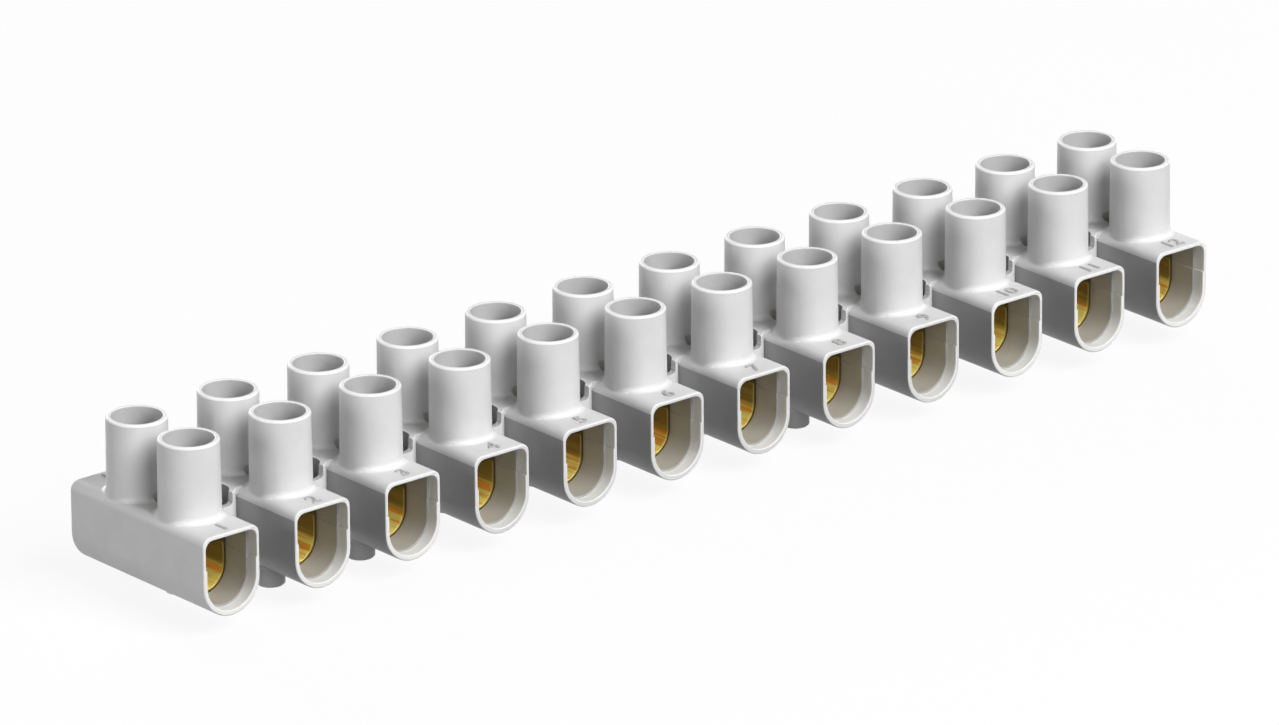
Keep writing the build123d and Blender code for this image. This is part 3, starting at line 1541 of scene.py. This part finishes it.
@dataclass
class ClampScrews:
    """The slotted screws, one for each tower, each on its own body."""

    finish: ZincPlate
    thread_r: float = 1.45
    thread_depth: float = 0.26
    thread_pitch: float = 0.5
    thread_foot: float = 0.35
    thread_bare: float = 0.9
    root_share: float = 0.7
    shank: float = 5.7
    tip_edge: float = 0.25
    neck_edge: float = 0.1
    head_r: float = 1.95
    head: float = 1.9
    head_foot_edge: float = 0.08
    edge: float = 0.15
    slot_half: float = 0.3
    slot_depth: float = 0.9
    slot_edge: float = 0.06
    slot_over: float = 0.3
    slot_rise: float = 0.4
    segments: int = 48
    edge_steps: int = 4

    # The turn of the slots in degrees, from pole to pole and from the middle to each side.
    turn_by_pole: int = 37
    turn_by_side: int = 20

    def core(self) -> bpy.types.Object:
        """The head with its slot and the bare shank, its tip at height 0.

        Returns:
            The screw without its thread, in millimetres.
        """
        root = self.thread_r - self.thread_depth * self.root_share
        crown, tip, neck, rim = self.shank + self.head, self.tip_edge, self.neck_edge, self.head_foot_edge
        outline = [(0, 0), (root - tip, 0), (root, tip)]
        outline += [(root, self.shank - neck), (root + neck, self.shank)]
        outline += [(self.head_r - rim, self.shank), (self.head_r, self.shank + rim)]
        outline += arc((self.head_r - self.edge, crown - self.edge), self.edge, 0, 90, self.edge_steps)
        outline.append((0, crown))
        base = Solid.turned(outline, self.segments).placed("screw_core")
        reach, half, edge = self.head_r + self.slot_over, self.slot_half, self.slot_edge
        low, high = crown - self.slot_depth, crown + self.slot_rise
        slot = [(-half, low + edge), (edge - half, low), (half - edge, low), (half, low + edge)]
        slot += [(half, high), (-half, high)]
        tool = Solid.lofted([[(x, y, z) for y, z in slot] for x in (-reach, reach)])
        return smoothed(carved(base, [(Cut.TAKE, tool.placed("slot"))]))

    def build(self, places: dict[int, float]) -> list[bpy.types.Object]:
        """Makes each screw and puts it in place of its node.

        Args:
            places: Pole number to its place along the row, in millimetres.

        Returns:
            The finished pieces.
        """
        material = self.finish.build()
        tree = ScrewTree(material).build()
        core = self.core()
        made = [self._screw(core, tree, material, side, number) for side in Side for number in places]
        discard(core)
        return made

    def _screw(
        self,
        core: bpy.types.Object,
        tree: bpy.types.NodeTree,
        material: bpy.types.Material,
        side: Side,
        number: int,
    ) -> bpy.types.Object:
        """Makes one screw.

        Args:
            core: The bare screw at the origin.
            tree: The tree that threads and places it.
            material: Its finish.
            side: The long side on which it stands.
            number: The number of its pole.

        Returns:
            The finished piece.
        """
        node = f"screw_{side.word}_{number:02d}"
        low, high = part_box(node)
        piece = linked(f"zinc_{node}", core.data.copy())
        place = ((low.x + high.x) / 2 / MM, (low.y + high.y) / 2 / MM, low.z / MM)
        sizes = {
            "Radius": self.thread_r,
            "Depth": self.thread_depth,
            "Pitch": self.thread_pitch,
            "Length": self.shank - self.thread_bare,
            "Foot": self.thread_foot,
            "Place": place,
            "Turn": math.radians(self.turn_by_pole * number + self.turn_by_side * side.value),
        }
        in_metres(grown(piece, tree, sizes))
        dress(piece, material)
        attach(piece, f"{side.word}_screw_{number:02d}")
        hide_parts(node)
        return piece


# The numbers.


@dataclass
class PoleNumbers:
    """Plain raised numbers on the ledges of both sides, one for each pole."""

    finish: MouldedPlastic
    height: float = 1.5
    capital_share: float = 0.7
    relief: float = 0.09
    bevel: float = 0.02
    curve_steps: int = 4
    ledge_z: float = 7.7
    ledge_y: float = 8.1

    def build(self, places: dict[int, float]) -> bpy.types.Object:
        """Makes all numbers as one piece.

        Args:
            places: Pole number to its place along the row, in millimetres.

        Returns:
            The finished piece.
        """
        digits = [self._number(number, x, side) for number, x in places.items() for side in Side]
        piece = in_metres(smoothed(joined(digits, "pole_numbers")))
        dress(piece, self.finish.build())
        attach(piece, STRIP_BODY)
        return piece

    def _number(self, number: int, x: float, side: Side) -> bpy.types.Object:
        """Makes one number as a mesh in its place, to be read from its own side.

        Args:
            number: The number to write.
            x: Its pole's place along the row.
            side: The ledge on which it stands.

        Returns:
            The mesh object.
        """
        words = bpy.data.curves.new("number", "FONT")
        words.body = str(number)
        words.size = self.height / self.capital_share
        words.align_x = "CENTER"
        words.align_y = "CENTER"
        words.extrude = self.relief
        words.bevel_depth = self.bevel
        words.bevel_resolution = 1
        words.resolution_u = self.curve_steps
        source = linked("number", words)
        mesh = evaluated_mesh(source)
        bpy.data.objects.remove(source)
        if side is Side.BACK:
            mesh.transform(Matrix.Rotation(math.pi, 4, "Z"))
        mesh.transform(Matrix.Translation((x, side.value * self.ledge_y, self.ledge_z)))
        return linked("number", mesh)


# The studio.


@dataclass
class Lamp:
    """A square soft lamp that looks at the strip."""

    name: str
    azimuth: float
    elevation: float
    distance: float
    size: float
    power: float

    def build(self) -> bpy.types.Object:
        """Makes the lamp.

        Returns:
            The lamp's object.
        """
        light = bpy.data.lights.new(self.name, "AREA")
        light.shape = "SQUARE"
        light.size = self.size
        light.energy = self.power
        made = linked(self.name, light)
        back = outward(self.azimuth, self.elevation)
        made.location = back * self.distance
        made.rotation_mode = "QUATERNION"
        made.rotation_quaternion = (-back).to_track_quat("-Z", "Y")
        return made


def outward(azimuth: float, elevation: float) -> Vector:
    """The direction from the strip to a viewer.

    Args:
        azimuth: Degrees round the strip, with 0 in front of it.
        elevation: Degrees above the floor.

    Returns:
        A vector of length 1.
    """
    a, e = math.radians(azimuth), math.radians(elevation)
    return Vector((math.sin(a) * math.cos(e), -math.cos(a) * math.cos(e), math.sin(e)))


@dataclass
class Studio:
    """The camera, the lamps, the white surroundings and the floor."""

    azimuth: float = -39.747
    elevation: float = 20.277
    roll: float = -0.428
    distance: float = 1.0891
    target_z: float = 0.007
    focal_px: float = 12231.0
    image_width: int = 1279
    sensor_mm: float = 36.0
    centre_shift_px: Point = (13.44, 2.30)
    clip: Point = (0.05, 20.0)
    sky: float = 0.0
    floor_half: float = 6.0
    floor_gap: float = 0.00002
    lamps: tuple[Lamp, ...] = (
        Lamp("key", 8.0, 43.0, 1.2, 0.7, 14.8),
        Lamp("front", -20.0, 14.0, 1.2, 0.4, 2.8),
        Lamp("fill", -100.0, 8.0, 1.2, 0.7, 6.6),
        Lamp("top", 160.0, 68.0, 1.2, 0.35, 1.1),
        Lamp("back", 165.0, 12.0, 1.2, 0.7, 7.0),
    )

    def camera(self) -> bpy.types.Object:
        """Makes the camera at the photograph's place.

        Returns:
            The camera's object.
        """
        lens = bpy.data.cameras.new("camera")
        lens.sensor_width = self.sensor_mm
        lens.lens = self.focal_px / self.image_width * lens.sensor_width
        lens.shift_x = -self.centre_shift_px[0] / self.image_width
        lens.shift_y = self.centre_shift_px[1] / self.image_width
        lens.clip_start, lens.clip_end = self.clip
        azimuth, roll = math.radians(self.azimuth), math.radians(self.roll)
        back = outward(self.azimuth, self.elevation)
        right = Vector((math.cos(azimuth), math.sin(azimuth), 0))
        up = back.cross(right)
        c, s = math.cos(roll), math.sin(roll)
        across, upright = right * c + up * s, up * c - right * s
        turn = Matrix((across, upright, back)).transposed().to_4x4()
        made = linked("camera", lens)
        place = back * self.distance + Vector((0, 0, self.target_z))
        made.matrix_world = Matrix.Translation(place) @ turn
        bpy.context.scene.camera = made
        return made

    def surroundings(self) -> None:
        """Shows white to the camera and in gloss, whatever light the sky gives the strip."""
        world = bpy.data.worlds.new("surroundings")
        world.use_nodes = True
        world.node_tree.nodes.clear()
        graph = Graph(world.node_tree)
        soft = graph.node("ShaderNodeBackground", {}, {"Color": WHITE, "Strength": self.sky})
        white = graph.node("ShaderNodeBackground", {}, {"Color": WHITE, "Strength": 1.0})
        blend = graph.node(
            "ShaderNodeMixShader", {}, {0: seen_share(graph), 1: soft.outputs[0], 2: white.outputs[0]}
        )
        graph.node("ShaderNodeOutputWorld", {}, {"Surface": blend.outputs[0]})
        bpy.context.scene.world = world

    def floor(self, height: float) -> bpy.types.Object:
        """Makes the floor.

        Args:
            height: Where it lies, in metres.

        Returns:
            The floor's object.
        """
        mesh = bpy.data.meshes.new("floor")
        half = self.floor_half
        corners = [(-half, -half), (half, -half), (half, half), (-half, half)]
        mesh.from_pydata([(x, y, height) for x, y in corners], [], [(0, 1, 2, 3)])
        mesh.materials.append(StudioPaper().build())
        made = linked("floor", mesh)
        return made

    def build(self) -> None:
        """Makes the whole studio round the strip."""
        self.camera()
        self.surroundings()
        for lamp in self.lamps:
            lamp.build()
        self.floor(CAD_BOX[0].z - self.floor_gap)
        bpy.context.scene.view_settings.view_transform = "Standard"


def pole_places() -> dict[int, float]:
    """Reads the poles' places from the frame's inserts.

    Returns:
        Pole number to its place along the row, in millimetres.
    """
    places = {}
    for name in sorted(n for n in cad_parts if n.startswith("insert_")):
        low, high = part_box(name)
        places[int(name.split("_")[1])] = round((low.x + high.x) / 2 / MM, 4)
    return places


def main() -> None:
    """Builds each sub-assembly in order, reports each piece, and sets up the studio."""
    logging.basicConfig(level=logging.INFO, format="%(name)s: %(message)s")
    places = pole_places()
    # The numbers' plastic is painted darker, as painted shade of their small raised sides.
    dark, darker = (0.48, 0.48, 0.48, 1.0), (0.42, 0.42, 0.42, 1.0)
    shaded_number_plastic = MouldedPlastic(dark, darker, name="shaded_number_plastic", marked=False)
    pieces = [
        Moulding(MouldedPlastic()).build(places),
        Inserts(DrawnBrass()).build(places),
        *ClampScrews(ZincPlate()).build(places),
        PoleNumbers(shaded_number_plastic).build(places),
    ]
    for piece in pieces:
        LOG.info("%s: %d faces", piece.name, len(piece.data.polygons))
    Studio().build()


if __name__ == "__main__":
    main()
